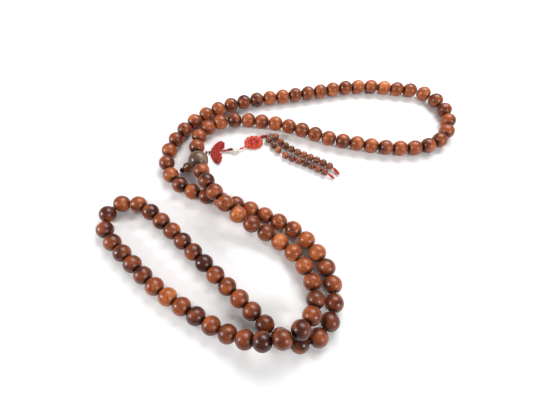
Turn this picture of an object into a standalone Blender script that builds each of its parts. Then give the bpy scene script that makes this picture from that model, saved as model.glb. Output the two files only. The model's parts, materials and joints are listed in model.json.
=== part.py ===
"""Mala prayer beads: 108 wooden beads and a guru bead on one cord, a knotted pendant and two counter strings.

The mala lies on a flat surface at z = 0, in metres, with +Z up and +X to the right. The beads are numbered
from 1, beside the guru bead, round the loop to 108, on the guru's other side. The loop lies as a double strand
in an S.
"""

import math

import bmesh
import bpy
from mathutils import Matrix, Vector
from mathutils.geometry import interpolate_bezier

# Driving dimensions
BEAD_COUNT = 108
BEAD_RADIUS = 0.0100
BEAD_LENGTH = 0.0183
RIM_RADIUS = 0.0040  # the small flat round each hole
BORE_RADIUS = 0.00135
BEAD_STATIONS = ((0.72, 0.0073), (0.24, BEAD_RADIUS))  # share of half its length, radius
CORD_RADIUS = 0.00085
GURU_RADIUS = 0.0125
GURU_HALF_LENGTH = 0.0116
PENDANT_GAP = 0.0026  # room for the pendant's loop between the guru bead and bead 1
COUNTER_RADIUS = 0.00475
COUNTER_LENGTH = 0.0088
COUNTER_SPACE = 0.0004  # between two counters that lie close
COUNTER_RIM = 0.0022
COUNTER_STATIONS = ((1, COUNTER_RIM), (0.74, 0.0037), (0.26, COUNTER_RADIUS))  # as a bead's
COUNTER_BORE = 0.0010
COUNTER_CORD_RADIUS = 0.0006
PENDANT_CORD_RADIUS = 0.0010
PENDANT_KNOT_RADIUS = 0.0018  # the small knot between the loop and the fan
STEM_KNOT_RADIUS = 0.0015
GAP = 0.0003  # between pieces that touch
OVERRUN = 0.003  # how far a bore's cutter runs past the piece that it cuts
ORIGIN = Vector((-0.0054, 0.0029, 0.0))  # the route's middle, which becomes the row's origin

# The loop's route from the guru bead round to it again: x, y, and how far the beads are lifted.
ROUTE = (
    (-0.1225, 0.0410, 0.0090),
    (-0.1275, 0.0630, 0.0065),
    (-0.1275, 0.0830, 0.0035),
    (-0.1195, 0.0985, 0.0010),
    (-0.1045, 0.1105, 0),
    (-0.0860, 0.1150, 0),
    (-0.0565, 0.1130, 0),
    (-0.0270, 0.1090, 0),
    (0.0095, 0.0980, 0),
    (0.0450, 0.0830, 0),
    (0.0820, 0.0745, 0),
    (0.1180, 0.0680, 0),
    (0.1550, 0.0665, 0),
    (0.1880, 0.0750, 0),
    (0.2080, 0.0940, 0),
    (0.2150, 0.1200, 0),
    (0.2070, 0.1500, 0),
    (0.1880, 0.1670, 0),
    (0.1530, 0.1730, 0),
    (0.1170, 0.1780, 0),
    (0.0810, 0.1765, 0),
    (0.0360, 0.1675, 0),
    (-0.0110, 0.1590, 0),
    (-0.0580, 0.1510, 0),
    (-0.1030, 0.1360, 0),
    (-0.1340, 0.1150, 0),
    (-0.1560, 0.0850, 0),
    (-0.1665, 0.0480, 0),
    (-0.1580, 0.0240, 0),
    (-0.1380, 0.0060, 0),
    (-0.1070, -0.0065, 0),
    (-0.0690, -0.0180, 0),
    (-0.0340, -0.0340, 0),
    (0.0000, -0.0530, 0),
    (0.0240, -0.0830, 0),
    (0.0360, -0.1170, 0),
    (0.0310, -0.1480, 0),
    (0.0180, -0.1670, 0),
    (-0.0030, -0.1735, 0),
    (-0.0240, -0.1660, 0),
    (-0.0500, -0.1420, 0),
    (-0.0915, -0.1030, 0),
    (-0.1335, -0.0625, 0),
    (-0.1610, -0.0380, 0),
    (-0.1845, -0.0195, 0),
    (-0.2030, -0.0125, 0),
    (-0.2210, -0.0210, 0),
    (-0.2280, -0.0395, 0),
    (-0.2195, -0.0575, 0),
    (-0.2010, -0.0755, 0),
    (-0.1830, -0.0920, 0),
    (-0.1530, -0.1180, 0),
    (-0.1200, -0.1390, 0),
    (-0.0870, -0.1580, 0),
    (-0.0690, -0.1660, 0.0025),
    (-0.0505, -0.1710, 0.0105),
    (-0.0320, -0.1725, 0.0185),
    (-0.0135, -0.1690, 0.0213),
    (0.0010, -0.1595, 0.0176),
    (0.0112, -0.1450, 0.0100),
    (0.0160, -0.1290, 0.0028),
    (0.0136, -0.1110, 0),
    (-0.0015, -0.0825, 0),
    (-0.0300, -0.0592, 0.0020),
    (-0.0475, -0.0492, 0.0055),
    (-0.0640, -0.0402, 0.0112),
    (-0.0785, -0.0305, 0.0172),
    (-0.0925, -0.0160, 0.0207),
    (-0.1065, 0.0025, 0.0192),
    (-0.1160, 0.0210, 0.0145),
)

# The first and last bead of each piece of the strand, by the part of the loop that moves together.
STRAND = {
    "middle": (
        (1, 5), (6, 10), (35, 42), (43, 50), (51, 56), (57, 62), (63, 72), (87, 94), (95, 101), (102, 108),
    ),
    "right_loop_near": ((11, 15), (30, 34)),
    "right_loop_far": ((16, 20), (21, 25), (26, 29)),
    "left_loop_near": ((73, 75), (84, 86)),
    "left_loop_far": ((76, 79), (80, 83)),
}

# The pendant lies flat to the right of the guru bead. A route's third number is its middle line's height.
STUB_ROUTE = (
    (-0.1195, 0.0545, 0.0150),
    (-0.1165, 0.0580, 0.0100),
    (-0.1162, 0.0620, 0.0056),
)
PIVOT_KNOT = (-0.1168, 0.0655, 0.0026)  # the pendant swings on this small knot
PIVOT_KNOT_RADIUS = 0.0017
FAN_CENTRE = (-0.0905, 0.0660)
FAN_ARC_RADIUS = 0.0213
FAN_ARC = (116, 244)  # degrees
FAN_LOBES = (
    (-0.0060, -0.0180),
    (-0.0040, -0.0105),
    (-0.0046, -0.0060),
    (-0.0086, -0.0008),
    (-0.0082, 0.0034),
    (-0.0026, 0.0078),
    (-0.0020, 0.0168),
)
FAN_THICKNESS = 0.0046
JADE_ROUTE = (
    (-0.0978, 0.0672, 0.0024),
    (-0.0935, 0.0680, 0.0024),
    (-0.0915, 0.0684, 0.0024),
    (-0.0890, 0.0688, 0.0028),
    (-0.0862, 0.0690, 0.0036),
    (-0.0836, 0.0692, 0.0042),
    (-0.0772, 0.0697, 0.0043),
    (-0.0712, 0.0702, 0.0041),
    (-0.0649, 0.0748, 0.0028),
)
JADE_KNOTS = {2: 0.0018, 3: 0.0020, 4: 0.0018}
JADE_AT = 6  # the point of its route that the jade bead sits on
JADE_LENGTH = 0.0094
JADE_RADIUS = 0.0043
JADE_STATIONS = ((1, 0.0022), (0.8, 0.0035), (0.3, JADE_RADIUS))  # as a bead's
FLOWER_CENTRE = (-0.0546, 0.0822)
FLOWER_RADII = (0.0126, 0.0110)
FLOWER_SCALLOP = 0.0006
FLOWER_LOOPS = 12
FLOWER_THICKNESS = 0.0050
STEM_ROUTE = (
    (-0.0456, 0.0912, 0.0022),
    (-0.0430, 0.0926, 0.0022),
    (-0.0400, 0.0932, 0.0022),
)
SPLIT_KNOT = (-0.0375, 0.0932, 0.0022)  # both counter strings swing on it
SPLIT_KNOT_RADIUS = 0.0019

COUNTER_ROUTES = {
    "a": (
        (-0.0352, 0.0938, 0.0024),
        (-0.0310, 0.0950, 0.0040),
        (-0.0272, 0.0930, COUNTER_RADIUS),
        (-0.0241, 0.0888, COUNTER_RADIUS),
        (-0.0172, 0.0803, COUNTER_RADIUS),
        (-0.0030, 0.0683, COUNTER_RADIUS),
        (0.0132, 0.0594, COUNTER_RADIUS),
        (0.0301, 0.0509, COUNTER_RADIUS),
        (0.0460, 0.0414, COUNTER_RADIUS),
        (0.0500, 0.0385, COUNTER_RADIUS),
    ),
    "b": (
        (-0.0370, 0.0909, 0.0030),
        (-0.0360, 0.0885, COUNTER_RADIUS),
        (-0.0341, 0.0852, COUNTER_RADIUS),
        (-0.0278, 0.0750, COUNTER_RADIUS),
        (-0.0214, 0.0680, COUNTER_RADIUS),
        (-0.0119, 0.0583, COUNTER_RADIUS),
        (0.0054, 0.0500, COUNTER_RADIUS),
        (0.0229, 0.0414, COUNTER_RADIUS),
        (0.0390, 0.0321, COUNTER_RADIUS),
        (0.0430, 0.0298, COUNTER_RADIUS),
    ),
}
COUNTERS = 10
FIRST_COUNTER = {"a": 0.0088, "b": 0.0030}  # from the start of the cord to the first counter's near end
SLACK_AFTER = {"a": {1: 0.0014}, "b": {1: 0.0022, 3: 0.0040}}  # where counters have slid apart
TIP_NECK = 0.0009  # bare cord between the last counter and the knotted end
TIPS = {  # the knotted end: its end point, and its radius along it
    "a": ((0.0568, 0.0308, 0.0022), (0.0008, 0.0019, 0.0023, 0.0022, 0.0017)),
    "b": ((0.0508, 0.0240, 0.0016), (0.0008, 0.0014, 0.0016, 0.0014, 0.0006)),
}

COLOURS = {
    "bead_wood": ((0.20, 0.055, 0.020, 1), 0.30),
    "guru_wood": ((0.085, 0.045, 0.022, 1), 0.30),
    "cord": ((0.16, 0.010, 0.012, 1), 0.80),
    "knot": ((0.42, 0.030, 0.022, 1), 0.85),
    "orange_cord": ((0.55, 0.085, 0.035, 1), 0.85),
    "jade": ((0.80, 0.76, 0.62, 1), 0.25),
    "counter_wood": ((0.11, 0.035, 0.014, 1), 0.35),
}


def clear_scene():
    for thing in list(bpy.data.objects):
        bpy.data.objects.remove(thing)
    for name in ("mala_prayer_beads", "mala_cutters"):
        bpy.context.scene.collection.children.link(bpy.data.collections.new(name))


def material(name):
    found = bpy.data.materials.get(name)
    if found:
        return found
    colour, roughness = COLOURS[name]
    found = bpy.data.materials.new(name)
    found.use_nodes = True
    surface = found.node_tree.nodes["Principled BSDF"]
    surface.inputs["Base Color"].default_value = colour
    surface.inputs["Roughness"].default_value = roughness
    found.diffuse_color = colour
    return found


def place(point, height=None):
    """A point of the layout in the row's frame, at this height if one is given."""
    x, y = point[:2]
    z = height if height is not None else point[2]
    return Vector((x, y, z)) - ORIGIN


def add(name, data, colour):
    """An object of the mala. Its material comes from the table of colours."""
    thing = bpy.data.objects.new(name, data)
    data.materials.clear()
    data.materials.append(material(colour))
    bpy.data.collections["mala_prayer_beads"].objects.link(thing)
    return thing


# Routes


def smooth_line(points, steps, closed=False):
    """A polyline of this many steps a span, on a smooth curve through the points. Its slope at a point weighs
    the spans on both sides by their lengths, so that uneven spans make no bumps."""
    count = len(points)
    slopes = []
    for i, here in enumerate(points):
        before = points[i - 1] if closed or i else None
        after = points[(i + 1) % count] if closed or i < count - 1 else None
        if before is None:
            slopes.append((after - here).normalized())
        elif after is None:
            slopes.append((here - before).normalized())
        else:
            a, b = (here - before).length, (after - here).length
            slopes.append(((here - before) / a * b + (after - here) / b * a) / (a + b))
    line = []
    for i in range(count if closed else count - 1):
        start, end = points[i], points[(i + 1) % count]
        reach = (end - start).length / 3
        line += interpolate_bezier(
            start, start + slopes[i] * reach, end - slopes[(i + 1) % count] * reach, end, steps + 1
        )[:-1]
    return line + [points[0].copy() if closed else points[-1].copy()]


class Line:
    """A polyline that is read by the distance along it. Past its ends it runs on straight."""

    def __init__(self, points):
        self.points = points
        self.marks = [0.0]
        for a, b in zip(points, points[1:]):
            self.marks.append(self.marks[-1] + (b - a).length)
        self.length = self.marks[-1]

    def at(self, distance):
        low, high = 0, len(self.marks) - 2
        while low < high:
            middle = (low + high + 1) // 2
            if self.marks[middle] <= distance:
                low = middle
            else:
                high = middle - 1
        a, b = self.points[low], self.points[low + 1]
        return a + (b - a) * ((distance - self.marks[low]) / (self.marks[low + 1] - self.marks[low]))

    def direction(self, distance, reach=0.002):
        return (self.at(distance + reach) - self.at(distance - reach)).normalized()

    def chord_end(self, start, chord):
        """How far along the point lies that is this chord away, in a straight line, from the start."""
        distance = start + chord
        for _ in range(6):
            distance += chord - (self.at(distance) - self.at(start)).length
        return distance


def strand_beads(line, slack):
    """Each bead's two hole ends, by its number, and where the last one ends along the line. Where the strand
    bends, the beads stand on the edges of their rims, so the gap between their holes opens."""
    ends = {}
    distance = GURU_HALF_LENGTH + PENDANT_GAP
    for number in range(1, BEAD_COUNT + 1):
        finish = line.chord_end(distance, BEAD_LENGTH)
        ends[number] = (line.at(distance), line.at(finish))
        before = line.direction(finish - BEAD_LENGTH / 2)
        after = line.direction(finish + BEAD_LENGTH / 2)
        distance = finish + slack + 2 * RIM_RADIUS * math.sin(before.angle(after) / 2)
    return ends, finish


def strand_line(route):
    """The loop's smooth line, no lower than a bead that lies on the surface."""
    points = smooth_line(route, 24, closed=True)
    for point in points:
        point.z = max(point.z, BEAD_RADIUS)
    return Line(points)


def fitted_beads(line):
    """Each bead's two hole ends, with the beads spaced so that the last one ends beside the guru bead."""
    low, high = -0.0010, 0.0030  # the slack lies between these
    for _ in range(30):
        slack = (low + high) / 2
        ends, finish = strand_beads(line, slack)
        if finish < line.length - GURU_HALF_LENGTH - GAP:
            low = slack
        else:
            high = slack
    return ends


# Shapes


def tube(name, points, radii, colour, detail=1):
    """A curve object along the points with a radius at each one. It has 4 sides, and 2 more for each level of
    detail."""
    data = bpy.data.curves.new(name, "CURVE")
    data.dimensions = "3D"
    data.twist_mode = "Z_UP"
    data.bevel_depth = max(radii)
    data.bevel_resolution = detail
    data.use_fill_caps = True
    spline = data.splines.new("POLY")
    spline.points.add(len(points) - 1)
    for spot, point, radius in zip(spline.points, points, radii):
        spot.co = (*point, 1)
        spot.radius = radius / max(radii)
    return add(name, data, colour)


def solid(curve):
    """The curve object as a mesh object with its caps welded on."""
    name, colour = curve.name, curve.data.materials[0].name
    evaluated = curve.evaluated_get(bpy.context.evaluated_depsgraph_get())
    mesh = bpy.data.meshes.new_from_object(evaluated)
    work = bmesh.new()
    work.from_mesh(mesh)
    bmesh.ops.remove_doubles(work, verts=work.verts, dist=1e-6)
    bmesh.ops.recalc_face_normals(work, faces=work.faces)
    work.to_mesh(mesh)
    work.free()
    place_in_world = curve.matrix_world.copy()
    bpy.data.objects.remove(curve)
    thing = add(name, mesh, colour)
    thing.matrix_world = place_in_world
    return thing


def cut(thing, name, points, radius):
    """Takes a round hole out of a mesh object along the points."""
    cutter = solid(tube(name, points, [radius] * len(points), "cord"))
    bpy.data.collections["mala_prayer_beads"].objects.unlink(cutter)
    bpy.data.collections["mala_cutters"].objects.link(cutter)
    cutter.hide_render = True
    cutter.display_type = "WIRE"
    bore = thing.modifiers.new(name, "BOOLEAN")
    bore.operation = "DIFFERENCE"
    bore.object = cutter


def round_shading(thing):
    thing.data.shade_smooth()
    thing.data.set_sharp_from_angle(angle=math.radians(50))


def turned(name, profile, steps, centre, axis, colour):
    """A bored turned piece. The profile is (distance along the axis, radius), down its outside and up its
    bore."""
    data = bpy.data.meshes.new(name)
    outline = [(radius, 0, along) for along, radius in profile]
    edges = [(i, (i + 1) % len(outline)) for i in range(len(outline))]
    data.from_pydata(outline, edges, [])
    thing = add(name, data, colour)
    thing.matrix_world = Matrix.Translation(centre) @ axis.to_track_quat("Z", "Y").to_matrix().to_4x4()
    turn = thing.modifiers.new("turn", "SCREW")
    turn.steps = steps
    turn.render_steps = steps
    turn.use_merge_vertices = True
    turn.merge_threshold = 1e-5
    turn.use_smooth_shade = True
    return thing


def both_ends(stations, half, bore):
    """A bead's profile, the same at both ends: (share of half its length, radius), and its bore's radius."""
    outer = [(share * half, radius) for share, radius in stations]
    outer += [(-along, radius) for along, radius in reversed(outer)]
    return outer + [(-half, bore), (half, bore)]


def flat_knot(name, outline, thickness, centre, colour):
    """A plaited knot as a flat plate with this outline, lying on the surface."""
    data = bpy.data.curves.new(name, "CURVE")
    data.dimensions = "2D"
    data.fill_mode = "BOTH"
    data.extrude = thickness / 2
    spline = data.splines.new("POLY")
    spline.points.add(len(outline) - 1)
    for spot, (x, y) in zip(spline.points, outline):
        spot.co = (x, y, 0, 1)
    spline.use_cyclic_u = True
    thing = add(name, data, colour)
    thing.location = place(centre, thickness / 2)
    bpy.context.view_layer.update()
    return solid(thing)


# The strand


def bead_run(first, last, ends):
    """The beads from first to last, threaded close, as one body with a hole for the cord right through."""
    points, radii = [ends[first][0]], [RIM_RADIUS]
    for number in range(first, last + 1):
        start, finish = ends[number]
        middle, half = (start + finish) / 2, (finish - start) / 2
        for share, radius in BEAD_STATIONS:
            points.append(middle - half * share)
            radii.append(radius)
        for share, radius in reversed(BEAD_STATIONS):
            points.append(middle + half * share)
            radii.append(radius)
        points.append(finish if number == last else (finish + ends[number + 1][0]) / 2)
        radii.append(RIM_RADIUS)
    name = f"beads_{first:03d}_to_{last:03d}"
    run = solid(tube(name, points, radii, "bead_wood", detail=2))
    holes = thread_points(first, last, ends)
    if first > 1:
        holes[0] = (ends[first - 1][1] + ends[first][0]) / 2
    if last < BEAD_COUNT:
        holes[-1] = (ends[last][1] + ends[last + 1][0]) / 2
    holes[0] -= (holes[1] - holes[0]).normalized() * OVERRUN
    holes[-1] += (holes[-1] - holes[-2]).normalized() * OVERRUN
    cut(run, f"bore_{first:03d}_to_{last:03d}", holes, BORE_RADIUS)
    round_shading(run)


def thread_points(first, last, ends):
    """The cord's points through these beads: one at the outer hole at each end, and one between two beads."""
    points = [ends[first][0].copy()]
    for number in range(first, last):
        points.append((ends[number][1] + ends[number + 1][0]) / 2)
    return points + [ends[last][1].copy()]


def strand_cord(name, first, last, ends, before=None, after=None):
    """The cord through these beads. It ends half a gap short of the middle between two beads, or of the point
    given."""
    points = thread_points(first, last, ends)
    if before:
        points.insert(0, before)
    else:
        points[0] = (ends[first][0] + ends[first - 1][1]) / 2
    if after:
        points.append(after)
    else:
        points[-1] = (ends[last][1] + ends[last + 1][0]) / 2
    points[0] += (points[1] - points[0]).normalized() * GAP / 2
    points[-1] += (points[-2] - points[-1]).normalized() * GAP / 2
    tube(name, points, [CORD_RADIUS] * len(points), "cord")


def make_strand(guru, ends):
    for runs in STRAND.values():
        for first, last in runs:
            bead_run(first, last, ends)
    first_hole = guru + (ends[1][0] - guru).normalized() * CORD_RADIUS
    last_hole = guru + (ends[BEAD_COUNT][1] - guru).normalized() * CORD_RADIUS
    strand_cord("cord_middle_front", 1, 10, ends, before=first_hole)
    strand_cord("cord_middle_back", 35, 72, ends)
    strand_cord("cord_middle_guru", 87, 108, ends, after=last_hole)
    strand_cord("cord_right_near_front", 11, 15, ends)
    strand_cord("cord_right_far", 16, 29, ends)
    strand_cord("cord_right_near_back", 30, 34, ends)
    strand_cord("cord_left_near_back", 73, 75, ends)
    strand_cord("cord_left_far", 76, 83, ends)
    strand_cord("cord_left_near_front", 84, 86, ends)


# The guru bead and its tail

TAIL_DIRECTION = Vector((-0.80, -0.17, -0.575)).normalized()
STUPA_START = 0.0126  # from the guru bead's middle
STUPA_PROFILE = (  # from the guru outwards: distance, radius
    (0.0000, 0.0036),
    (0.0004, 0.0052),
    (0.0017, 0.0055),
    (0.0022, 0.0046),
    (0.0029, 0.0057),
    (0.0040, 0.0058),
    (0.0046, 0.0049),
    (0.0056, 0.0061),
    (0.0076, 0.0064),
    (0.0098, 0.0053),
    (0.0112, 0.0032),
)
STUPA_BORE = 0.0018
TAIL_BORE_DEPTH = 0.016  # from the guru bead's middle, out through its side
TAIL_RADIUS = 0.0014
TAIL_END_DIRECTION = Vector((-0.86, -0.30, -0.08)).normalized()
TAIL_STATIONS = (  # the knotted end beyond the stupa bead: distance, radius
    (0.0012, TAIL_RADIUS),
    (0.0022, 0.0027),
    (0.0040, 0.0030),
    (0.0058, 0.0022),
    (0.0068, 0.0009),
)


def make_guru(guru, ends):
    axis = (ends[1][0] - ends[BEAD_COUNT][1]).normalized()
    data = bpy.data.meshes.new("guru_bead")
    work = bmesh.new()
    bmesh.ops.create_uvsphere(work, u_segments=14, v_segments=9, radius=GURU_RADIUS)
    bmesh.ops.scale(work, vec=(1, 1, GURU_HALF_LENGTH / GURU_RADIUS), verts=work.verts)
    work.to_mesh(data)
    work.free()
    thing = add("guru_bead", data, "guru_wood")
    thing.matrix_world = Matrix.Translation(guru) @ axis.to_track_quat("Z", "Y").to_matrix().to_4x4()
    strand_hole = [ends[BEAD_COUNT][1], guru, ends[1][0]]
    cut(thing, "bore_guru_strand", strand_hole, BORE_RADIUS)
    cut(thing, "bore_guru_tail", [guru, guru + TAIL_DIRECTION * TAIL_BORE_DEPTH], STUPA_BORE)
    round_shading(thing)


def make_tail(guru):
    start = guru + TAIL_DIRECTION * STUPA_START
    bore = [(STUPA_PROFILE[-1][0], STUPA_BORE), (0, STUPA_BORE)]
    profile = [(-along, radius) for along, radius in (*STUPA_PROFILE, *bore)]
    turned("stupa_bead", profile, 14, start, -TAIL_DIRECTION, "guru_wood")
    out = guru + TAIL_DIRECTION * (STUPA_START + STUPA_PROFILE[-1][0] + GAP)
    points = [guru + TAIL_DIRECTION * (CORD_RADIUS + GAP), out]
    radii = [TAIL_RADIUS, TAIL_RADIUS]
    for along, radius in TAIL_STATIONS:
        points.append(out + TAIL_END_DIRECTION * along)
        radii.append(radius)
    tube("guru_tail_knot", points, radii, "cord", detail=2)


# The pendant


def ball(place_at, radius):
    """A small round knot as a mesh, to be joined to a cord."""
    data = bpy.data.meshes.new("knot")
    work = bmesh.new()
    bmesh.ops.create_uvsphere(work, u_segments=10, v_segments=6, radius=radius)
    bmesh.ops.translate(work, vec=place_at, verts=work.verts)
    work.to_mesh(data)
    work.free()
    return data


def join(thing, name, other):
    """Joins a hidden helper to a mesh object with a Boolean union."""
    bpy.data.collections["mala_prayer_beads"].objects.unlink(other)
    bpy.data.collections["mala_cutters"].objects.link(other)
    other.hide_render = True
    other.display_type = "WIRE"
    union = thing.modifiers.new(name, "BOOLEAN")
    union.operation = "UNION"
    union.object = other


def make_loop(guru, ends):
    """The pendant's cord is tied round the strand's cord between the guru bead and bead 1. Its free end goes
    down to the small knot that the pendant swings on."""
    across = (ends[1][0] - guru).normalized()
    middle = ends[1][0] - across * (PENDANT_GAP / 2)
    side = across.cross(Vector((0, 0, 1))).normalized()
    top = side.cross(across)
    turns = 10
    reach = CORD_RADIUS + GAP + PENDANT_CORD_RADIUS
    points = [
        middle + (side * math.cos(t * math.tau / turns) + top * math.sin(t * math.tau / turns)) * reach
        for t in range(turns)
    ]
    data = bpy.data.curves.new("pendant_loop", "CURVE")
    data.dimensions = "3D"
    data.bevel_depth = PENDANT_CORD_RADIUS
    data.bevel_resolution = 1
    spline = data.splines.new("POLY")
    spline.points.add(turns - 1)
    for spot, point in zip(spline.points, points):
        spot.co = (*point, 1)
    spline.use_cyclic_u = True
    ring = solid(add("pendant_loop", data, "cord"))
    route = [middle + side * reach] + [place(point) for point in (*STUB_ROUTE, PIVOT_KNOT)]
    line = smooth_line(route, 3)
    join(ring, "stub", solid(tube("pendant_stub", line, [PENDANT_CORD_RADIUS * 0.97] * len(line), "cord")))
    join(ring, "pivot_knot", add("pivot_knot", ball(place(PIVOT_KNOT), PIVOT_KNOT_RADIUS), "cord"))


def make_fan():
    knot = place(PIVOT_KNOT)
    fan_edge = place((FAN_CENTRE[0] - FAN_ARC_RADIUS - GAP, FAN_CENTRE[1]), FAN_THICKNESS / 2)
    out = (fan_edge - knot).normalized()
    start = knot + out * (PIVOT_KNOT_RADIUS + GAP)
    middle = (start + fan_edge) / 2
    radii = [PENDANT_CORD_RADIUS, PENDANT_KNOT_RADIUS, PENDANT_CORD_RADIUS]
    tube("pendant_cord", [start, middle, fan_edge], radii, "cord")
    low, high = FAN_ARC
    steps = 12
    arc = [math.radians(high - (high - low) * t / steps) for t in range(steps + 1)]
    outline = [(FAN_ARC_RADIUS * math.cos(a), FAN_ARC_RADIUS * math.sin(a)) for a in reversed(arc)]
    flat_knot("fan_knot", outline + list(FAN_LOBES), FAN_THICKNESS, FAN_CENTRE, "knot")


def make_flower():
    line = [place(point) for point in JADE_ROUTE]
    radii = [JADE_KNOTS.get(i, PENDANT_CORD_RADIUS) for i in range(len(line))]
    tube("jade_cord", line, radii, "orange_cord")
    centre = line[JADE_AT]
    axis = (line[JADE_AT + 1] - line[JADE_AT - 1]).normalized()
    profile = both_ends(JADE_STATIONS, JADE_LENGTH / 2, PENDANT_CORD_RADIUS + 2 * GAP)
    turned("jade_bead", profile, 14, centre, -axis, "jade")
    steps = FLOWER_LOOPS * 4
    outline = []
    for t in range(steps):
        turn = t * math.tau / steps
        scallop = FLOWER_SCALLOP * math.cos(FLOWER_LOOPS * turn)
        x = (FLOWER_RADII[0] + scallop) * math.cos(turn)
        y = (FLOWER_RADII[1] + scallop) * math.sin(turn)
        outline.append((x, y))
    flat_knot("flower_knot", outline, FLOWER_THICKNESS, FLOWER_CENTRE, "orange_cord")
    stem = [place(point) for point in (*STEM_ROUTE, SPLIT_KNOT)]
    radii = [PENDANT_CORD_RADIUS, STEM_KNOT_RADIUS, PENDANT_CORD_RADIUS, PENDANT_CORD_RADIUS]
    stem_object = solid(tube("counter_stem", stem, radii, "knot"))
    join(stem_object, "split_knot", add("split_knot", ball(place(SPLIT_KNOT), SPLIT_KNOT_RADIUS), "cord"))


def make_counters(letter):
    """One string of counters: turned beads, and the cord through them with its knotted end."""
    line = Line(smooth_line([place(point) for point in COUNTER_ROUTES[letter]], 12))
    half = COUNTER_LENGTH / 2
    profile = both_ends(COUNTER_STATIONS, half, COUNTER_BORE)
    distance = FIRST_COUNTER[letter]
    thread = [line.at(0), line.at(distance / 3), line.at(2 * distance / 3)]
    for number in range(1, COUNTERS + 1):
        finish = line.chord_end(distance, COUNTER_LENGTH)
        start_point, end_point = line.at(distance), line.at(finish)
        axis = (end_point - start_point).normalized()
        name = f"counter_{letter}_{number:02d}"
        turned(name, profile, 8, (start_point + end_point) / 2, axis, "counter_wood")
        if number == 1 or number - 1 in SLACK_AFTER[letter]:
            thread.append(start_point)
        else:
            thread[-1] = (thread[-1] + start_point) / 2
        thread.append(end_point)
        bend = line.direction(finish - half).angle(line.direction(finish + half))
        distance = finish + COUNTER_SPACE + 2 * COUNTER_RIM * math.sin(bend / 2)
        distance += SLACK_AFTER[letter].get(number, 0)
    radii = [COUNTER_CORD_RADIUS] * len(thread)
    end, swells = TIPS[letter]
    neck = thread[-1] + line.direction(finish) * TIP_NECK
    last = place(end)
    for step, radius in enumerate(swells):
        thread.append(neck.lerp(last, step / (len(swells) - 1)))
        radii.append(radius)
    tube(f"counter_cord_{letter}", thread, radii, "knot", detail=2)


def main():
    clear_scene()
    route = [place(point, point[2] + BEAD_RADIUS) for point in ROUTE]
    guru = route[0].copy()
    ends = fitted_beads(strand_line(route))
    make_strand(guru, ends)
    make_guru(guru, ends)
    make_tail(guru)
    make_loop(guru, ends)
    make_fan()
    make_flower()
    for letter in COUNTER_ROUTES:
        make_counters(letter)


if __name__ == "__main__":
    main()
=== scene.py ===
"""The looks of the mala prayer beads: polished wooden beads, plaited knots, a carved stone and counters.

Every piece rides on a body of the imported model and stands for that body's plain solids. The strand's beads
are worked out from the same route as the solids' beads, in metres, with z = 0 on the surface below them.
"""

import json
import math
import random

import bpy
from mathutils import Matrix, Vector
from mathutils.geometry import interpolate_bezier

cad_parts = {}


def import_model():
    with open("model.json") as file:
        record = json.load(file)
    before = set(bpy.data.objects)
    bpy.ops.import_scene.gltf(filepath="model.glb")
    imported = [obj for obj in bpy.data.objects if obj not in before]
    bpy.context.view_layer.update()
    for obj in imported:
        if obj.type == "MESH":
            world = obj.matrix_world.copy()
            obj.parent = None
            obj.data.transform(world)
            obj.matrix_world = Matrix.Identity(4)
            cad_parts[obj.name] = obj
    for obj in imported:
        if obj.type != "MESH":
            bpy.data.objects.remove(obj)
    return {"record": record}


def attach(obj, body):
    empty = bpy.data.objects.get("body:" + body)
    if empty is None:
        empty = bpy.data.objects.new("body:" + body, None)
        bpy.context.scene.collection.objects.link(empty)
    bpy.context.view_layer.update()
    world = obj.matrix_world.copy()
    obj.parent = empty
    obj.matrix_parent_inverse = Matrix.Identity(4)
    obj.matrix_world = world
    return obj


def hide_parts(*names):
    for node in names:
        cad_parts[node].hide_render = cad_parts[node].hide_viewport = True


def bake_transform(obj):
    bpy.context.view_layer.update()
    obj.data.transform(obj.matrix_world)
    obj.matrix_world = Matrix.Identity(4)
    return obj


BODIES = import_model()["record"]["behaviour"]["bodies"]
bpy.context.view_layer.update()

# Driving dimensions
BEAD_COUNT = 108
BEAD_RADIUS = 0.0100
BEAD_LENGTH = 0.0183
BEAD_STEPS = (14, 26)  # along and round a bead's outside
RIM_RADIUS = 0.0040  # the small flat round each hole
BORE_RADIUS = 0.00135
CORD_RADIUS = 0.00085
GURU_RADIUS = 0.0125
GURU_HALF_LENGTH = 0.0116
GURU_STEPS = (18, 36)
PENDANT_GAP = 0.0026  # room for the pendant's loop between the guru bead and bead 1
COUNTER_RADIUS = 0.00475
COUNTER_LENGTH = 0.0088
COUNTER_STEPS = (12, 24)
COUNTER_SPACE = 0.0004  # between two counters that lie close
COUNTER_RIM = 0.0022
COUNTER_BORE = 0.0010
COUNTER_CORD_RADIUS = 0.0006
PENDANT_CORD_RADIUS = 0.0010
GAP = 0.0003  # between pieces that touch
ORIGIN = Vector((-0.0054, 0.0029, 0.0))  # the route's middle, which becomes the row's origin

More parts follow.
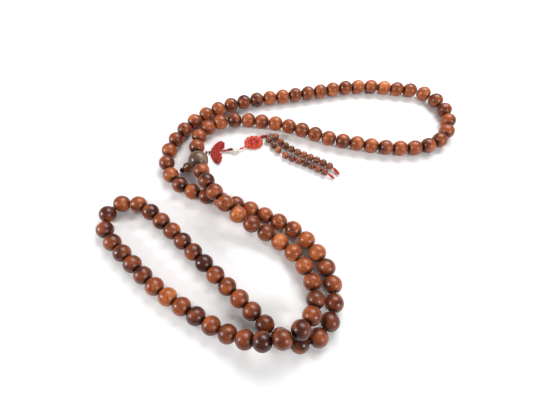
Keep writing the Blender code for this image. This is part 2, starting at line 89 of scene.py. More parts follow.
# The loop's route from the guru bead round to it again: x, y, and how far the beads are lifted.
ROUTE = (
    (-0.1225, 0.0410, 0.0090),
    (-0.1275, 0.0630, 0.0065),
    (-0.1275, 0.0830, 0.0035),
    (-0.1195, 0.0985, 0.0010),
    (-0.1045, 0.1105, 0),
    (-0.0860, 0.1150, 0),
    (-0.0565, 0.1130, 0),
    (-0.0270, 0.1090, 0),
    (0.0095, 0.0980, 0),
    (0.0450, 0.0830, 0),
    (0.0820, 0.0745, 0),
    (0.1180, 0.0680, 0),
    (0.1550, 0.0665, 0),
    (0.1880, 0.0750, 0),
    (0.2080, 0.0940, 0),
    (0.2150, 0.1200, 0),
    (0.2070, 0.1500, 0),
    (0.1880, 0.1670, 0),
    (0.1530, 0.1730, 0),
    (0.1170, 0.1780, 0),
    (0.0810, 0.1765, 0),
    (0.0360, 0.1675, 0),
    (-0.0110, 0.1590, 0),
    (-0.0580, 0.1510, 0),
    (-0.1030, 0.1360, 0),
    (-0.1340, 0.1150, 0),
    (-0.1560, 0.0850, 0),
    (-0.1665, 0.0480, 0),
    (-0.1580, 0.0240, 0),
    (-0.1380, 0.0060, 0),
    (-0.1070, -0.0065, 0),
    (-0.0690, -0.0180, 0),
    (-0.0340, -0.0340, 0),
    (0.0000, -0.0530, 0),
    (0.0240, -0.0830, 0),
    (0.0360, -0.1170, 0),
    (0.0310, -0.1480, 0),
    (0.0180, -0.1670, 0),
    (-0.0030, -0.1735, 0),
    (-0.0240, -0.1660, 0),
    (-0.0500, -0.1420, 0),
    (-0.0915, -0.1030, 0),
    (-0.1335, -0.0625, 0),
    (-0.1610, -0.0380, 0),
    (-0.1845, -0.0195, 0),
    (-0.2030, -0.0125, 0),
    (-0.2210, -0.0210, 0),
    (-0.2280, -0.0395, 0),
    (-0.2195, -0.0575, 0),
    (-0.2010, -0.0755, 0),
    (-0.1830, -0.0920, 0),
    (-0.1530, -0.1180, 0),
    (-0.1200, -0.1390, 0),
    (-0.0870, -0.1580, 0),
    (-0.0690, -0.1660, 0.0025),
    (-0.0505, -0.1710, 0.0105),
    (-0.0320, -0.1725, 0.0185),
    (-0.0135, -0.1690, 0.0213),
    (0.0010, -0.1595, 0.0176),
    (0.0112, -0.1450, 0.0100),
    (0.0160, -0.1290, 0.0028),
    (0.0136, -0.1110, 0),
    (-0.0015, -0.0825, 0),
    (-0.0300, -0.0592, 0.0020),
    (-0.0475, -0.0492, 0.0055),
    (-0.0640, -0.0402, 0.0112),
    (-0.0785, -0.0305, 0.0172),
    (-0.0925, -0.0160, 0.0207),
    (-0.1065, 0.0025, 0.0192),
    (-0.1160, 0.0210, 0.0145),
)

# The pendant lies flat to the right of the guru bead. A route's third number is its middle line's height.
STUB_ROUTE = (
    (-0.1195, 0.0545, 0.0150),
    (-0.1165, 0.0580, 0.0100),
    (-0.1162, 0.0620, 0.0056),
)
PIVOT_KNOT = (-0.1168, 0.0655, 0.0026)  # the pendant swings on this small knot
PIVOT_KNOT_RADIUS = 0.0017
FAN_CENTRE = (-0.0905, 0.0660)
FAN_ARC_RADIUS = 0.0213
FAN_ARC = (116, 244)  # degrees
FAN_LOBES = (
    (-0.0060, -0.0180),
    (-0.0040, -0.0105),
    (-0.0046, -0.0060),
    (-0.0086, -0.0008),
    (-0.0082, 0.0034),
    (-0.0026, 0.0078),
    (-0.0020, 0.0168),
)
FAN_THICKNESS = 0.0046
JADE_ROUTE = (
    (-0.0978, 0.0672, 0.0024),
    (-0.0935, 0.0680, 0.0024),
    (-0.0915, 0.0684, 0.0024),
    (-0.0890, 0.0688, 0.0028),
    (-0.0862, 0.0690, 0.0036),
    (-0.0836, 0.0692, 0.0042),
    (-0.0772, 0.0697, 0.0043),
    (-0.0712, 0.0702, 0.0041),
    (-0.0649, 0.0748, 0.0028),
)
JADE_AT = 6  # the point of its route that the stone bead sits on
JADE_LENGTH = 0.0094
JADE_RADIUS = 0.0043
FLOWER_CENTRE = (-0.0546, 0.0822)
FLOWER_RADII = (0.0126, 0.0110)
FLOWER_LOOPS = 12
STEM_ROUTE = (
    (-0.0456, 0.0912, 0.0022),
    (-0.0430, 0.0926, 0.0022),
    (-0.0400, 0.0932, 0.0022),
)
SPLIT_KNOT = (-0.0375, 0.0932, 0.0022)  # both counter strings swing on it
SPLIT_KNOT_RADIUS = 0.0019

COUNTER_ROUTES = {
    "a": (
        (-0.0352, 0.0938, 0.0024),
        (-0.0310, 0.0950, 0.0040),
        (-0.0272, 0.0930, COUNTER_RADIUS),
        (-0.0241, 0.0888, COUNTER_RADIUS),
        (-0.0172, 0.0803, COUNTER_RADIUS),
        (-0.0030, 0.0683, COUNTER_RADIUS),
        (0.0132, 0.0594, COUNTER_RADIUS),
        (0.0301, 0.0509, COUNTER_RADIUS),
        (0.0460, 0.0414, COUNTER_RADIUS),
        (0.0500, 0.0385, COUNTER_RADIUS),
    ),
    "b": (
        (-0.0370, 0.0909, 0.0030),
        (-0.0360, 0.0885, COUNTER_RADIUS),
        (-0.0341, 0.0852, COUNTER_RADIUS),
        (-0.0278, 0.0750, COUNTER_RADIUS),
        (-0.0214, 0.0680, COUNTER_RADIUS),
        (-0.0119, 0.0583, COUNTER_RADIUS),
        (0.0054, 0.0500, COUNTER_RADIUS),
        (0.0229, 0.0414, COUNTER_RADIUS),
        (0.0390, 0.0321, COUNTER_RADIUS),
        (0.0430, 0.0298, COUNTER_RADIUS),
    ),
}
COUNTERS = 10
FIRST_COUNTER = {"a": 0.0088, "b": 0.0030}  # from the start of the cord to the first counter's near end
SLACK_AFTER = {"a": {1: 0.0014}, "b": {1: 0.0022, 3: 0.0040}}  # where counters have slid apart
TIP_ENDS = {"a": (0.0568, 0.0308, 0.0022), "b": (0.0508, 0.0240, 0.0016)}  # where the knotted ends stop


def place(point, height=None):
    """A point of the layout in the row's frame, at this height if one is given."""
    x, y = point[:2]
    z = height if height is not None else point[2]
    return Vector((x, y, z)) - ORIGIN


def smooth_line(points, steps, closed=False):
    """A polyline of this many steps a span, on a smooth curve through the points. Its slope at a point weighs
    the spans on both sides by their lengths, so that uneven spans make no bumps."""
    count = len(points)
    slopes = []
    for i, here in enumerate(points):
        before = points[i - 1] if closed or i else None
        after = points[(i + 1) % count] if closed or i < count - 1 else None
        if before is None:
            slopes.append((after - here).normalized())
        elif after is None:
            slopes.append((here - before).normalized())
        else:
            a, b = (here - before).length, (after - here).length
            slopes.append(((here - before) / a * b + (after - here) / b * a) / (a + b))
    line = []
    for i in range(count if closed else count - 1):
        start, end = points[i], points[(i + 1) % count]
        reach = (end - start).length / 3
        line += interpolate_bezier(
            start, start + slopes[i] * reach, end - slopes[(i + 1) % count] * reach, end, steps + 1
        )[:-1]
    return line + [points[0].copy() if closed else points[-1].copy()]


class Line:
    """A polyline that is read by the distance along it. Past its ends it runs on straight."""

    REACH = 0.002  # its direction is read between two points, this far to each side

    def __init__(self, points):
        self.points = points
        self.marks = [0.0]
        for a, b in zip(points, points[1:]):
            self.marks.append(self.marks[-1] + (b - a).length)
        self.length = self.marks[-1]

    def at(self, distance):
        low, high = 0, len(self.marks) - 2
        while low < high:
            middle = (low + high + 1) // 2
            if self.marks[middle] <= distance:
                low = middle
            else:
                high = middle - 1
        a, b = self.points[low], self.points[low + 1]
        return a + (b - a) * ((distance - self.marks[low]) / (self.marks[low + 1] - self.marks[low]))

    def direction(self, distance):
        return (self.at(distance + self.REACH) - self.at(distance - self.REACH)).normalized()

    def chord_end(self, start, chord):
        """How far along the point lies that is this chord away, in a straight line, from the start."""
        distance = start + chord
        for _ in range(6):
            distance += chord - (self.at(distance) - self.at(start)).length
        return distance


ROUTE_STEPS = 24  # points on each span of the strand's line
SLACK_RANGE = (-0.0010, 0.0030)  # between two neighbours
SLACK_ROUNDS = 30  # halvings of that range


def strand_beads(line, slack):
    """Each bead's two hole ends, by its number, and where the last one ends along the line. Where the strand
    bends, the beads stand on the edges of their rims, so the gap between their holes opens."""
    ends = {}
    distance = GURU_HALF_LENGTH + PENDANT_GAP
    for number in range(1, BEAD_COUNT + 1):
        finish = line.chord_end(distance, BEAD_LENGTH)
        ends[number] = (line.at(distance), line.at(finish))
        before = line.direction(finish - BEAD_LENGTH / 2)
        after = line.direction(finish + BEAD_LENGTH / 2)
        distance = finish + slack + 2 * RIM_RADIUS * math.sin(before.angle(after) / 2)
    return ends, finish


def strand_line(route):
    """The loop's smooth line, no lower than a bead that lies on the surface."""
    points = smooth_line(route, ROUTE_STEPS, closed=True)
    for point in points:
        point.z = max(point.z, BEAD_RADIUS)
    return Line(points)


def fitted_beads(line):
    """The beads' hole ends, spaced so that the last bead ends beside the guru bead."""
    low, high = SLACK_RANGE
    for _ in range(SLACK_ROUNDS):
        slack = (low + high) / 2
        ends, finish = strand_beads(line, slack)
        if finish < line.length - GURU_HALF_LENGTH - GAP:
            low = slack
        else:
            high = slack
    return ends


# Materials

RING_SCALE = 165  # the grain's wide layers, and the fine ones between them
FINE_RING_SCALE = 330
WARP_SCALE = 75  # how the layers wander, and how far
WARP_REACH = 0.0075
BLOTCH_SCALE = 62
PORE_SCALE = (2300, 2300, 170)  # long pores along the grain
FIBRE_SCALE = 5200
PATCH_SCALE = 260  # worn patches on a cord and clouds in the stone


class Shader:
    """One procedural material. Its nodes are added one by one and linked as they come."""

    def __init__(self, name, **sockets):
        self.material = bpy.data.materials.new(name)
        self.material.use_nodes = True
        self.tree = self.material.node_tree
        self.surface = self.tree.nodes["Principled BSDF"]
        for socket, value in sockets.items():
            self.surface.inputs[socket.replace("_", " ")].default_value = value

    def add(self, kind, inputs=(), **settings):
        node = self.tree.nodes.new("ShaderNode" + kind)
        for key, value in settings.items():
            setattr(node, key, value)
        for socket, value in dict(inputs).items():
            if isinstance(value, bpy.types.NodeSocket):
                self.tree.links.new(value, node.inputs[socket])
            else:
                node.inputs[socket].default_value = value
        return node

    def attribute(self, name, output):
        return self.add("Attribute", attribute_name=name).outputs[output]

    def noise(self, where, scale, detail, output="Fac"):
        return self.add("TexNoise", {"Vector": where, "Scale": scale, "Detail": detail}).outputs[output]

    def layers(self, where, scale, distortion, detail_scale):
        settings = {"Vector": where, "Scale": scale, "Distortion": distortion, "Detail": 2}
        return self.add("TexWave", {**settings, "Detail Scale": detail_scale}).outputs["Fac"]

    def math(self, operation, first, second):
        return self.add("Math", {0: first, 1: second}, operation=operation).outputs[0]

    def vector(self, operation, first, second):
        """Adds or takes away a vector, or multiplies by a number."""
        other = "Scale" if operation == "SCALE" else 1
        return self.add("VectorMath", {0: first, other: second}, operation=operation).outputs[0]

    def ramp(self, factor, *stops):
        """A colour or a grey value by a factor: stops are (place, colour)."""
        node = self.add("ValToRGB", {"Fac": factor})
        elements = node.color_ramp.elements
        while len(elements) < len(stops):
            elements.new(0.5)
        for element, (spot, colour) in zip(elements, stops):
            element.position = spot
            element.color = (*colour, 1) if len(colour) == 3 else (*colour * 3, 1)
        return node.outputs["Color"]

    def darken(self, factor, colour, shade):
        """The colour multiplied by a shade, as strongly as the factor says."""
        inputs = {0: factor, 6: colour, 7: shade}
        return self.add("Mix", inputs, data_type="RGBA", blend_type="MULTIPLY").outputs[2]

    def bump(self, height, distance, strength):
        node = self.add("Bump", {"Height": height, "Distance": distance, "Strength": strength})
        self.use("Normal", node.outputs["Normal"])

    def use(self, socket, output):
        self.tree.links.new(output, self.surface.inputs[socket])


def wood(name, dark, middle, light, roughness, coat):
    """Turned and polished wood. The grain's layers lie across the first axis of the "wood" coordinates, so a
    bead shows rings where it faces that axis and stripes elsewhere. "figure" is how strongly they show."""
    shader = Shader(name, Coat_Weight=coat, Coat_Roughness=0.26, Specular_IOR_Level=0.42)
    where = shader.attribute("wood", "Vector")
    tone = shader.attribute("tone", "Fac")
    figure = shader.attribute("figure", "Fac")
    warp = shader.vector("SUBTRACT", shader.noise(where, WARP_SCALE, 2, "Color"), (0.5, 0.5, 0.5))
    bent = shader.vector("ADD", where, shader.vector("SCALE", warp, WARP_REACH))
    lines = shader.ramp(shader.layers(bent, RING_SCALE, 2.2, 0.6), (0.55, (0.0,)), (0.98, (1.0,)))
    fine = shader.layers(bent, FINE_RING_SCALE, 3.0, 0.8)
    broad = shader.noise(bent, BLOTCH_SCALE, 3)
    stretched = shader.add("Mapping", {"Vector": bent, "Scale": PORE_SCALE}).outputs[0]
    pores = shader.noise(stretched, 1.0, 2)
    share = shader.math("ADD", tone, -0.31)
    share = shader.math("ADD", share, shader.math("MULTIPLY", broad, 1.30))
    rings = shader.math("MULTIPLY", lines, 0.28)
    rings = shader.math("ADD", rings, shader.math("MULTIPLY", fine, 0.16))
    share = shader.math("ADD", share, shader.math("MULTIPLY", rings, figure))
    colour = shader.ramp(share, (0.10, dark), (0.50, middle), (0.95, light))
    streak = shader.ramp(pores, (0.30, (0.45,)), (0.46, (1.0,)))
    colour = shader.darken(0.40, colour, streak)
    # Painted shade: the wood darkens towards each hole end, where shade falls between touching beads.
    painted_end_shade = shader.ramp(shader.attribute("rim", "Fac"), (0.70, (1.0,)), (0.96, (0.30,)))
    shader.use("Base Color", shader.darken(1.0, colour, painted_end_shade))
    shader.use("Roughness", shader.ramp(broad, (0.3, (roughness - 0.06,)), (0.7, (roughness + 0.08,))))
    relief = shader.math("MULTIPLY", fine, 0.4)
    relief = shader.math("ADD", shader.math("MULTIPLY", pores, 0.6), relief)
    shader.bump(relief, 0.00005, 0.6)
    return shader.material


def thread(name, deep, bright):
    """Twisted silky cord: fine fibres and darker worn patches."""
    shader = Shader(name, Roughness=0.62, Sheen_Weight=0.08, Sheen_Roughness=0.4, Specular_IOR_Level=0.3)
    where = shader.add("TexCoord").outputs["Object"]
    fibres = shader.noise(where, FIBRE_SCALE, 3)
    patches = shader.noise(where, PATCH_SCALE, 2)
    share = shader.math("ADD", shader.math("MULTIPLY", fibres, 0.5), shader.math("MULTIPLY", patches, 0.5))
    shader.use("Base Color", shader.ramp(share, (0.33, deep), (0.62, bright)))
    shader.bump(fibres, 0.00012, 0.8)
    return shader.material


def carved_stone(name):
    """Pale polished stone that lets a little light in."""
    depth = (0.002, 0.0018, 0.0012)
    shader = Shader(name, Subsurface_Weight=0.25, Subsurface_Radius=depth, Subsurface_Scale=1.0)
    where = shader.add("TexCoord").outputs["Object"]
    cloud = shader.noise(where, PATCH_SCALE, 4)
    shader.use("Base Color", shader.ramp(cloud, (0.34, (0.70, 0.68, 0.57)), (0.62, (0.90, 0.89, 0.83))))
    shader.use("Roughness", shader.ramp(cloud, (0.3, (0.20,)), (0.7, (0.34,))))
    shader.bump(shader.noise(where, 900, 2), 0.00008, 0.5)
    return shader.material


def floor_material():
    """Pale board. It glows beyond the lit middle, so that it meets the white background."""
    shader = Shader("studio_floor", Roughness=0.75, Specular_IOR_Level=0.2)
    where = shader.add("TexCoord").outputs["Object"]
    distance = shader.add("VectorMath", {0: where}, operation="LENGTH").outputs["Value"]
    glow = shader.add("MapRange", {"Value": distance, "From Min": 0.5, "From Max": 1.6, "To Max": 0.75})
    shader.surface.inputs["Emission Color"].default_value = (1, 1, 1, 1)
    shader.use("Emission Strength", glow.outputs["Result"])
    cloud = shader.noise(where, 4, 2)
    shader.use("Base Color", shader.ramp(cloud, (0.3, (0.85, 0.845, 0.845)), (0.7, (0.87,))))
    return shader.material


# Each wood: its dark, middle and light colours, how rough it is, and how much of a polish it has
ROSEWOOD = wood("rosewood", (0.050, 0.007, 0.002), (0.310, 0.066, 0.013), (0.62, 0.200, 0.052), 0.33, 0.10)
GURU_WOOD = wood("guru_wood", (0.045, 0.020, 0.012), (0.150, 0.082, 0.052), (0.36, 0.25, 0.19), 0.30, 0.15)
STUPA_WOOD = wood("stupa_wood", (0.030, 0.006, 0.003), (0.210, 0.062, 0.012), (0.50, 0.20, 0.050), 0.20, 0.30)
COUNTER_WOOD = wood("counter_wood", (0.05, 0.01, 0.003), (0.29, 0.072, 0.02), (0.54, 0.19, 0.066), 0.24, 0.20)
MAROON = thread("maroon_cord", (0.030, 0.002, 0.003), (0.14, 0.008, 0.010))
CRIMSON = thread("crimson_cord", (0.18, 0.005, 0.004), (0.62, 0.060, 0.045))
ORANGE = thread("orange_cord", (0.34, 0.022, 0.010), (0.74, 0.110, 0.048))
STONE = carved_stone("pale_stone")


# Shapes

TURNED_EDGE = math.radians(38)  # a turned piece's edges sharper than this stay sharp
CORD_EDGE = math.radians(60)
MOUTH = (0.90, 0.965, 0.992, 0.999)  # where a hole's mouth rounds over, as shares of half the bead's length
PLY_STEPS = 8  # points on each turn of a ply
PLY_SHARE = {2: 0.56, 3: 0.50}  # a ply's radius as a share of the cord's, by the number of plies
KNOT_STEPS = 12
KNOT_CORD_SHARE = 0.42  # the cord's radius as a share of the knot's
UP = Vector((0, 0, 1))


def new_piece(name, data, colour, body, nodes=()):
    """A piece of the mala in the row's frame, which rides on its body and stands for these nodes."""
    piece = bpy.data.objects.new(name, data)
    bpy.context.scene.collection.objects.link(piece)
    data.materials.append(colour)
    piece["rides_on"] = body
    if nodes:
        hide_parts(*nodes)
    return piece


def settle(piece):
    """The last step for a piece: it takes its place on its body."""
    bpy.context.view_layer.update()
    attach(piece, piece["rides_on"])
    return piece


def turned_mesh(name, profile, steps, lobes=None):
    """A turned ring-shaped mesh about its own Z. The profile is (distance along the axis, radius), down the
    outside and up the bore. lobes gives a share of the radius by angle, distance and radius."""
    points, faces = [], []
    count = len(profile)
    for step in range(steps):
        angle = step * math.tau / steps
        for along, radius in profile:
            share = lobes(angle, along, radius) if lobes else 1.0
            points.append((radius * share * math.cos(angle), radius * share * math.sin(angle), along))
        following = (step + 1) % steps
        for i in range(count):
            j = (i + 1) % count
            here, there = step * count, following * count
            faces.append((here + i, there + i, there + j, here + j))
    mesh = bpy.data.meshes.new(name)
    mesh.from_pydata(points, [], faces)
    mesh.shade_smooth()
    mesh.set_sharp_from_angle(angle=TURNED_EDGE)
    return mesh


def grain(mesh, tone, figure, eye, seed, half):
    """Gives a mesh its wood coordinates. The rings show on the side that the eye direction, in the mesh's own
    axes, points to."""
    turn = eye.to_track_quat("X", "Z").inverted()
    shift = Vector([random.Random(seed * 3 + axis).uniform(-0.6, 0.6) for axis in range(3)])
    where = [value for vertex in mesh.vertices for value in turn @ vertex.co + shift]
    mesh.attributes.new("wood", "FLOAT_VECTOR", "POINT").data.foreach_set("vector", where)
    for name, value in (("tone", tone), ("figure", figure)):
        mesh.attributes.new(name, "FLOAT", "POINT").data.foreach_set("value", [value] * len(mesh.vertices))
    # how near each point lies to a hole end, which the wood uses for the painted shade there
    rims = [abs(vertex.co.z) / half for vertex in mesh.vertices]
    mesh.attributes.new("rim", "FLOAT", "POINT").data.foreach_set("value", rims)


def bead_profile(radius, half, bore, steps):
    """A ball with flat ends round its hole, whose mouth is rounded over."""
    rim = math.asin(half / radius)
    outer = []
    for step in range(steps + 1):
        angle = rim * (1 - 2 * step / steps)
        outer.append((radius * math.sin(angle), radius * math.cos(angle)))
    face = outer[0][1]
    widths = (bore, bore * 1.08, bore + (face - bore) * 0.28, face * 0.9)
    top = [(half * share, width) for share, width in zip(MOUTH, widths)]
    bottom = [(-along, radius) for along, radius in reversed(top)]
    return outer + bottom + top


def placed(centre, axis, roll=0.0):
    """A matrix that stands a turned piece at a centre with its own Z along an axis."""
    turn = axis.to_track_quat("Z", "Y").to_matrix() @ Matrix.Rotation(roll, 3, "Z")
    return Matrix.Translation(centre) @ turn.to_4x4()


def resample(points, step):
    """Points at even steps along a polyline, ends kept."""
    line = Line([Vector(point) for point in points])
    count = max(2, round(line.length / step))
    return [line.at(line.length * i / count) for i in range(count)] + [line.points[-1].copy()]


def ply_paths(points, radius, plies, pitch, closed=False):
    """The centre lines of the plies of a twisted cord along these points, turning once every pitch."""
    line = Line([Vector(point) for point in points] + ([Vector(points[0])] if closed else []))
    turns = line.length / pitch
    if closed:
        turns = max(1, round(turns))
    count = max(6, round(turns * PLY_STEPS))
    reach = 0.0003
    tangents = []
    for i in range(count + 1):
        a = line.at(max(0.0, line.length * i / count - reach))
        b = line.at(min(line.length, line.length * i / count + reach))
        tangents.append((b - a).normalized())
    side = tangents[0].cross(UP)
    side = (side if side.length > 0.1 else tangents[0].cross(Vector((0, 1, 0)))).normalized()
    paths = [[] for _ in range(plies)]
    for i in range(count + 1):
        side = (side - tangents[i] * side.dot(tangents[i])).normalized()
        up = tangents[i].cross(side)
        centre = line.at(line.length * i / count)
        for ply in range(plies):
            turn = math.tau * (turns * i / count + ply / plies)
            paths[ply].append(centre + (side * math.cos(turn) + up * math.sin(turn)) * radius)
    if closed:
        paths = [path[:-1] for path in paths]
    return paths


def tube_mesh(name, paths, closed=False):
    """One mesh of round tubes. Each path is (points, radius or one radius a point)."""
    data = bpy.data.curves.new(name, "CURVE")
    data.dimensions = "3D"
    data.bevel_resolution = 2
    data.use_fill_caps = True
    data.bevel_depth = unit = 0.001
    for points, radius in paths:
        spline = data.splines.new("POLY")
        spline.points.add(len(points) - 1)
        radii = radius if isinstance(radius, list) else [radius] * len(points)
        for spot, point, size in zip(spline.points, points, radii):
            spot.co = (*point, 1)
            spot.radius = size / unit
        spline.use_cyclic_u = closed
    helper = bpy.data.objects.new(name, data)
    bpy.context.scene.collection.objects.link(helper)
    bpy.context.view_layer.update()
    solid = helper.evaluated_get(bpy.context.evaluated_depsgraph_get())
    mesh = bpy.data.meshes.new_from_object(solid)
    bpy.data.objects.remove(helper)
    mesh.name = name
    mesh.materials.clear()
    mesh.shade_smooth()
    mesh.set_sharp_from_angle(angle=CORD_EDGE)
    return mesh


def twisted(points, radius, plies, pitch, closed=False):
    """Tube paths of a twisted cord of this outer radius."""
    ply = radius * PLY_SHARE[plies]
    return [(path, ply) for path in ply_paths(points, radius - ply, plies, pitch, closed)]


def cord_piece(name, paths, colour, body, nodes=(), closed=False):
    """A settled piece made of tube paths."""
    return settle(new_piece(name, tube_mesh(name, paths, closed), colour, body, nodes))


def declare_cord(points, pieces):
    """Measures the length of a line along these points and keeps nothing. The pieces are not used."""
    Line(points).length


def wrapped_knot(centre, axis, radius, length, turns, cord=None):
    """Tube paths of a small tight knot: a cord wound round an axis in a barrel, and a core inside it."""
    cord = cord or radius * KNOT_CORD_SHARE
    side = axis.cross(UP)
    side = (side if side.length > 0.1 else Vector((1, 0, 0))).normalized()
    up = axis.cross(side)
    points = []
    count = turns * KNOT_STEPS
    for i in range(count + 1):
        share = i / count
        reach = (radius - cord) * (0.62 + 0.38 * math.sin(math.pi * share))
        turn = math.tau * turns * share
        along = axis * (length - 2 * cord) * (share - 0.5)
        points.append(centre + along + (side * math.cos(turn) + up * math.sin(turn)) * reach)
    core = axis * (length * 0.42)
    return [(points, cord), ([centre - core, centre + core], radius * 0.6)]


# The strand

ROUTE_POINTS = [place(point, point[2] + BEAD_RADIUS) for point in ROUTE]
GURU = ROUTE_POINTS[0].copy()
STRAND_LINE = strand_line(ROUTE_POINTS)
ENDS = fitted_beads(STRAND_LINE)
FAIR_BEADS = (3, 4, 8, 28, 33, 34, 37, 54, 58, 87, 96, 100, 101)  # more orange than the rest
DEEP_BEADS = (5, 23, 38, 39, 49, 53, 62, 63, 67, 68, 72, 76, 83, 84, 85, 90, 91, 93, 97, 103)  # darker
SHADED_FRONT_BEADS = range(63, 99)  # a little darker: painted shade on the front loop
EYED_BEADS = (9, 14, 30, 44, 56, 57, 79, 86, 87, 90, 98, 99, 100, 103, 104, 105)  # rings show on top
# Tone shifts: the fair and deep beads' shifts are the wood's own colour, and the front loop's shift is
# painted shade.
TONE_AND_SHADE_SHIFTS = ((SHADED_FRONT_BEADS, -0.09), (FAIR_BEADS, 0.13), (DEEP_BEADS, -0.10))
STRAND_TWIST = 0.0045  # one turn of the strand cord's three plies


def strand_owners():
    """Each bead's node and body, by its number, from the names of the model's nodes."""
    owners = {}
    for body, nodes in BODIES.items():
        for node in nodes:
            if node.startswith("beads_"):
                first, last = int(node[6:9]), int(node[-3:])
                for number in range(first, last + 1):
                    owners[number] = (node, body)
    return owners


OWNERS = strand_owners()


def make_beads():
    """The 108 beads. Each has its own cut of the wood, drawn from its own number."""
    profile = bead_profile(BEAD_RADIUS, BEAD_LENGTH / 2, BORE_RADIUS, BEAD_STEPS[0])
    for number, (start, finish) in ENDS.items():
        dice = random.Random(number)
        matrix = placed((start + finish) / 2, (finish - start).normalized(), dice.uniform(0, math.tau))
        tone = dice.gauss(0, 0.045)
        # the front loop's beads are darkened here as painted shade
        tone += sum(shift for beads, shift in TONE_AND_SHADE_SHIFTS if number in beads)
        if number in EYED_BEADS:
            eye = Vector((dice.uniform(-0.3, 0.3), dice.uniform(-0.5, -0.05), 0.85))
            figure = dice.uniform(0.65, 0.95)
        else:
            eye = Vector([dice.gauss(0, 1) for _ in range(3)])
            figure = dice.uniform(0.10, 0.55)
        eye = matrix.to_3x3().inverted() @ eye.normalized()
        mesh = turned_mesh(f"bead_{number:03d}", profile, BEAD_STEPS[1])
        grain(mesh, tone, figure, eye, number, BEAD_LENGTH / 2)
        node, body = OWNERS[number]
        bead = new_piece(f"bead_{number:03d}", mesh, ROSEWOOD, body, [node])
        bead.matrix_world = matrix
        settle(bead)


def neck_point(number):
    """The middle of the gap between this bead and the next."""
    return (ENDS[number][1] + ENDS[number + 1][0]) / 2


CORD_RUNS = {  # the first and last bead on each stretch of the cord
    "cord_middle_front": (1, 10),
    "cord_right_near_front": (11, 15),
    "cord_right_far": (16, 29),
    "cord_right_near_back": (30, 34),
    "cord_middle_back": (35, 72),
    "cord_left_near_back": (73, 75),
    "cord_left_far": (76, 83),
    "cord_left_near_front": (84, 86),
    "cord_middle_guru": (87, 108),
}


def make_strand_cords():
    """The maroon cord through the beads: one piece for each stretch of a body, and a short one that bends at
    each fold between two bodies."""
    short = 0.004  # how far a stretch stops short of a fold, in the last bead's hole
    half = 0.006  # of a fold's piece
    for node, (first, last) in CORD_RUNS.items():
        necks = range(max(1, first - 1), min(BEAD_COUNT, last + 1))
        points = [neck_point(number) for number in necks]
        if first == 1:
            points = [GURU, ENDS[1][0], *points]
        else:
            points[0] += (points[1] - points[0]).normalized() * short
        if last == BEAD_COUNT:
            points += [ENDS[BEAD_COUNT][1], GURU]
        else:
            points[-1] += (points[-2] - points[-1]).normalized() * short
        paths = twisted(points, CORD_RADIUS, 3, STRAND_TWIST)
        cord_piece("strand_" + node, paths, MAROON, OWNERS[first][1], [node])
    for number in range(1, BEAD_COUNT):
        here, there = OWNERS[number][1], OWNERS[number + 1][1]
        if here == there:
            continue
        middle = neck_point(number)
        before = (middle - neck_point(number - 1)).normalized()
        after = (neck_point(number + 1) - middle).normalized()
        points = resample([middle - before * half, middle, middle + after * half], 0.0006)
        mesh = tube_mesh(f"fold_cord_{number:03d}", twisted(points, CORD_RADIUS * 0.98, 3, STRAND_TWIST))
        piece = new_piece(f"fold_cord_{number:03d}", mesh, MAROON, here)
        bpy.context.view_layer.update()
        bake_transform(piece)


# The guru bead and its tail

TAIL_DIRECTION = Vector((-0.80, -0.17, -0.575)).normalized()
STUPA_START = 0.0126
STUPA_PROFILE = (
    (0.0000, 0.0036),
    (0.0003, 0.0050),
    (0.0009, 0.0055),
    (0.0016, 0.0055),
    (0.0021, 0.0048),
    (0.0025, 0.0048),
    (0.0030, 0.0057),
    (0.0040, 0.0058),
    (0.0044, 0.0051),
    (0.0048, 0.0051),
    (0.0053, 0.0059),
    (0.0063, 0.0063),
    (0.0076, 0.0064),
    (0.0088, 0.0060),
    (0.0099, 0.0052),
    (0.0107, 0.0042),
    (0.0112, 0.0032),
)
STUPA_BORE = 0.0018
STUPA_STEPS = 32
TAIL_START = 0.011  # from the guru bead's middle to the inner end of the tail
TAIL_LIE = Vector((-0.86, -0.30, -0.08)).normalized()  # where the tail's knots point
TAIL_KNOTS = ((0.0016, 0.0034), (0.0038, 0.0036), (0.0057, 0.0026))  # how far out, and radius


def make_guru():
    axis = (ENDS[1][0] - ENDS[BEAD_COUNT][1]).normalized()
    matrix = placed(GURU, axis)
    profile = bead_profile(GURU_RADIUS, GURU_HALF_LENGTH, BORE_RADIUS, GURU_STEPS[0])
    mesh = turned_mesh("guru", profile, GURU_STEPS[1])
    eye = matrix.to_3x3().inverted() @ Vector((0.75, -0.45, -0.35)).normalized()
    grain(mesh, 0.02, 0.35, eye, 500, GURU_HALF_LENGTH)
    guru = new_piece("guru", mesh, GURU_WOOD, "middle", ["guru_bead"])
    guru.matrix_world = matrix
    settle(guru)


def make_stupa():
    """The small waisted bead that closes the strand at the guru bead."""
    outer = [(-along, radius) for along, radius in STUPA_PROFILE]
    bore = [(-STUPA_PROFILE[-1][0], STUPA_BORE), (0, STUPA_BORE)]
    mesh = turned_mesh("stupa", outer + bore, STUPA_STEPS)
    grain(mesh, 0.10, 0.5, Vector((0.2, 0.3, 1)).normalized(), 501, 0.02)
    stupa = new_piece("stupa", mesh, STUPA_WOOD, "stupa", ["stupa_bead"])
    stupa.matrix_world = placed(GURU + TAIL_DIRECTION * STUPA_START, -TAIL_DIRECTION)
    settle(stupa)


def make_tail():
    """The cord that leaves the guru bead through the small one, its three knots and its cut end."""
    out = GURU + TAIL_DIRECTION * (STUPA_START + STUPA_PROFILE[-1][0] + GAP)
    start = GURU + TAIL_DIRECTION * TAIL_START
    paths = twisted([start, out, out + TAIL_LIE * 0.0012], 0.0014, 3, 0.005)
    for along, radius in TAIL_KNOTS:
        paths += wrapped_knot(out + TAIL_LIE * along, TAIL_LIE, radius, radius * 0.95, 2, radius * 0.38)
    paths += twisted([out + TAIL_LIE * 0.0055, out + TAIL_LIE * 0.0068], 0.0008, 2, 0.003)
    cord_piece("tail_knot", paths, MAROON, "middle", ["guru_tail_knot"])


# The pendant

PENDANT_TWIST = 0.0034  # one turn of the two plies of the pendant's cords
RING_STEPS = 20


